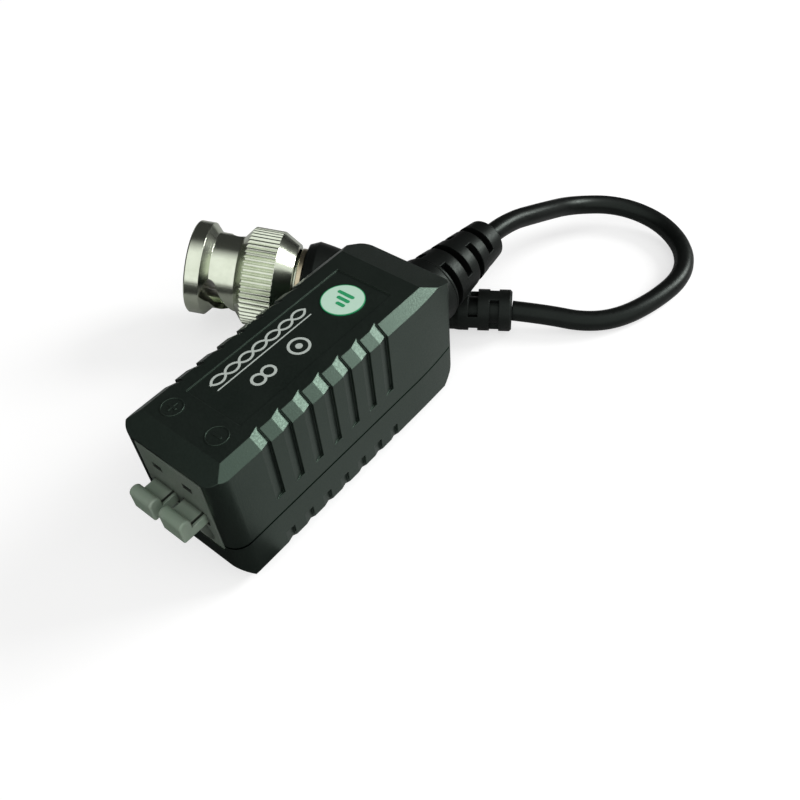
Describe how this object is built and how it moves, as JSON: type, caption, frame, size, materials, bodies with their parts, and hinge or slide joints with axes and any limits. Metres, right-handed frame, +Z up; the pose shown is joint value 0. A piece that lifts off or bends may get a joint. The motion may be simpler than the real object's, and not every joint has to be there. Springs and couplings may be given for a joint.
{
  "type": "camera signal converter",
  "caption": "Small ribbed housing with two push-lever wire terminals at one end and a short looped lead with a bayonet coaxial plug at the other.",
  "frame": {"origin": "on the surface it lies on, under the middle of the converter without its free lead: half the width, and midway between the lever tips and the end of the strain relief", "axes": "+Z up; the wire terminals and levers face -Y and the lead leaves along +Y; +X is to the right seen from the terminals"},
  "size_m": [0.0612, 0.0935, 0.021],
  "materials": {
    "housing": "fine-grained black ABS",
    "label": "pale round inlay",
    "terminal": "grey-green polyamide",
    "steel": "plain steel",
    "contact": "gold-coloured brass",
    "board": "green solder mask on glass-fibre laminate",
    "ferrite": "dark sintered ferrite",
    "copper": "bare and enamelled copper",
    "ceramic": "dipped component coating",
    "moulding": "satin black PVC",
    "nickel": "satin nickel plating on brass",
    "insulator": "white polyethylene",
    "seal": "soft rubber gasket"
  },
  "bodies": {
    "housing": {"upper_shell": "housing", "lower_shell": "housing", "round_label": "label", "terminal_block": "terminal", "lever_pin": "steel", "contact_left": "contact", "contact_right": "contact", "clamp_spring_left": "steel", "clamp_spring_right": "steel", "circuit_board": "board", "ferrite_core": "ferrite", "primary_winding": "copper", "secondary_winding": "copper", "disc_capacitor": "ceramic", "surge_suppressor": "ceramic", "resistor": "ceramic", "cord_strain_relief": "moulding", "coax_centre_lead": "copper", "coax_braid_tail": "copper", "plug_body": "nickel", "contact_sleeve": "nickel", "plug_insulator": "insulator", "centre_pin": "contact", "gasket": "seal", "spring_washer": "steel", "retaining_ring": "steel", "rear_collar": "contact", "crimp_ferrule": "nickel", "plug_boot": "moulding", "cord": "moulding"},
    "left_lever": {"lever_left": "terminal"},
    "right_lever": {"lever_right": "terminal"},
    "nut_washer": {"thrust_washer": "nickel"},
    "nut": {"coupling_nut": "nickel"}
  },
  "joints": [
    {"name": "left_lever_press", "type": "hinge", "parent": "housing", "child": "left_lever", "pos_m": [-0.0025, -0.02365, 0.0125], "axis": [1, 0, 0], "range_deg": [0, 7], "stiffness_Nm_per_rad": 0.02},
    {"name": "right_lever_press", "type": "hinge", "parent": "housing", "child": "right_lever", "pos_m": [0.0025, -0.02365, 0.0125], "axis": [1, 0, 0], "range_deg": [0, 7], "stiffness_Nm_per_rad": 0.02},
    {"name": "nut_slide", "type": "slide", "parent": "housing", "child": "nut_washer", "axis": [-0.8313, -0.5208, 0.1942], "range_m": [0, 0.0004], "stiffness_N_per_m": 200},
    {"name": "nut_turn", "type": "hinge", "parent": "nut_washer", "child": "nut", "pos_m": [-0.0326, 0.00257, 0.0103], "axis": [-0.8313, -0.5208, 0.1942], "continuous": true}
  ]
}
